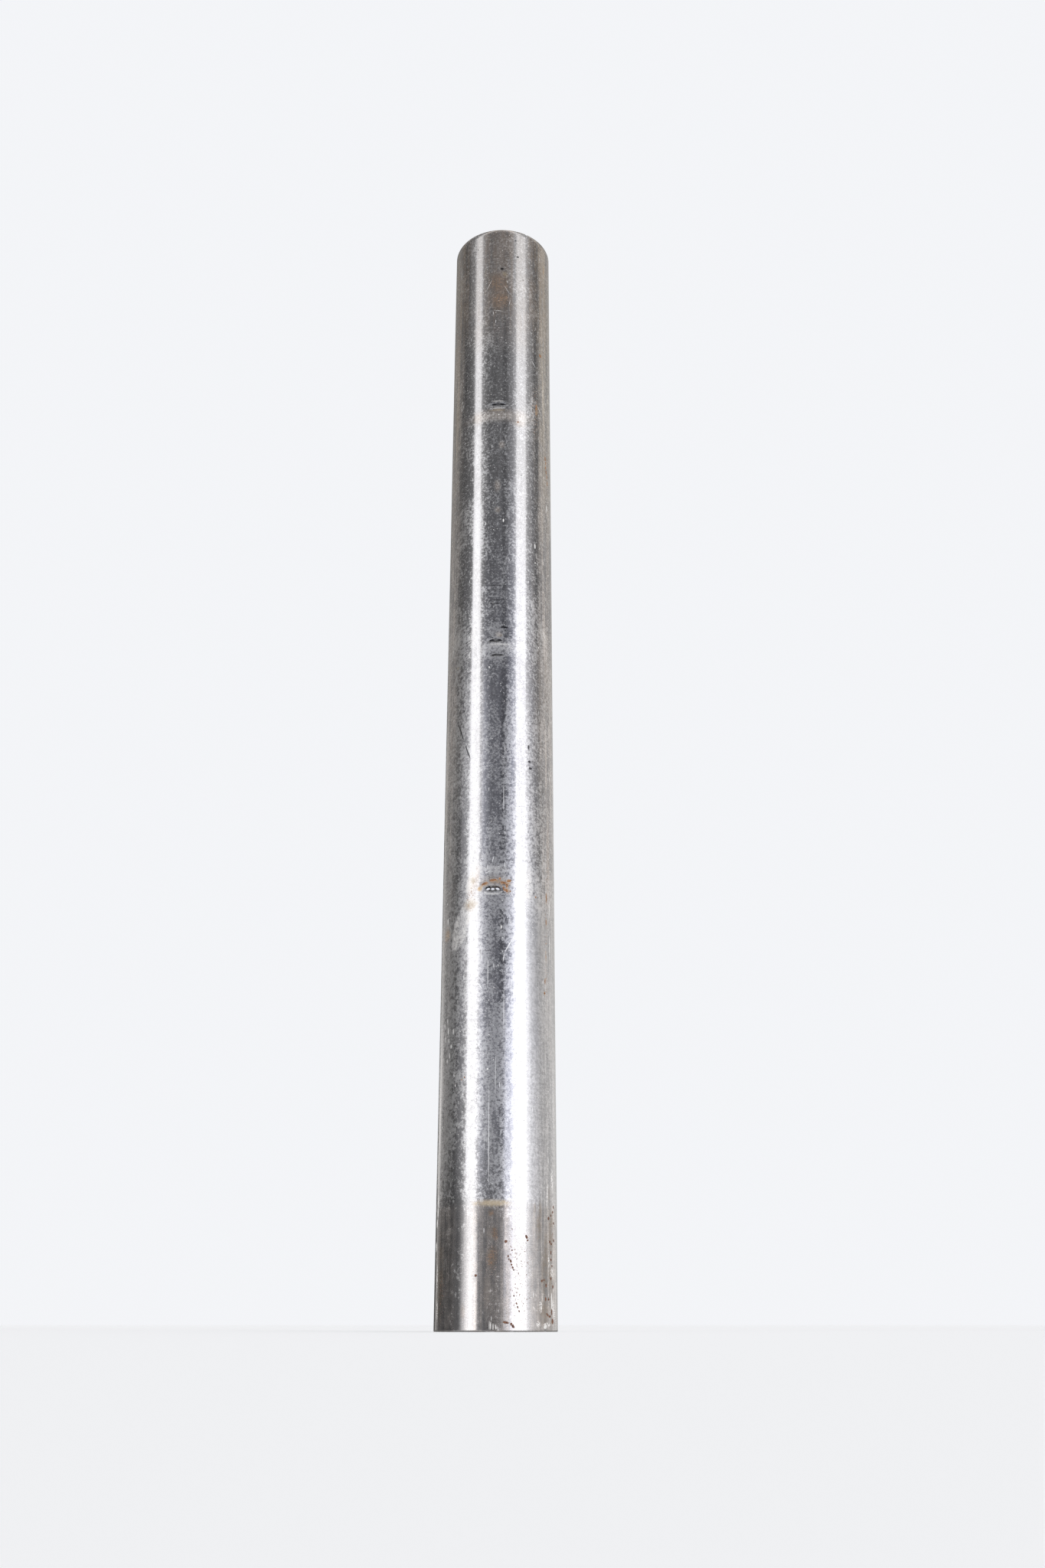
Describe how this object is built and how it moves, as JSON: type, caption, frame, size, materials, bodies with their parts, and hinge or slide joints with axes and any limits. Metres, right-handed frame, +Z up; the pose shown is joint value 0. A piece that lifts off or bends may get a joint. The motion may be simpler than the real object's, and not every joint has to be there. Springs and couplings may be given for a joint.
{
  "type": "stainless steel downpipe",
  "caption": "Straight round downpipe in worn stainless steel, open and cut square at both ends, with pressed-in clamp dents.",
  "frame": {"origin": "centre of the pipe's lower end, on the plane that it stands on", "axes": "+Z up along the pipe's axis, -Y towards the column of clamp dents"},
  "size_m": [0.076, 0.076, 0.825],
  "materials": {
    "pipe": "dull brushed stainless steel, mottled, scratched, with brown clamp stains and specks of rust"
  },
  "bodies": {
    "root": {"pipe": "pipe"}
  },
  "joints": []
}
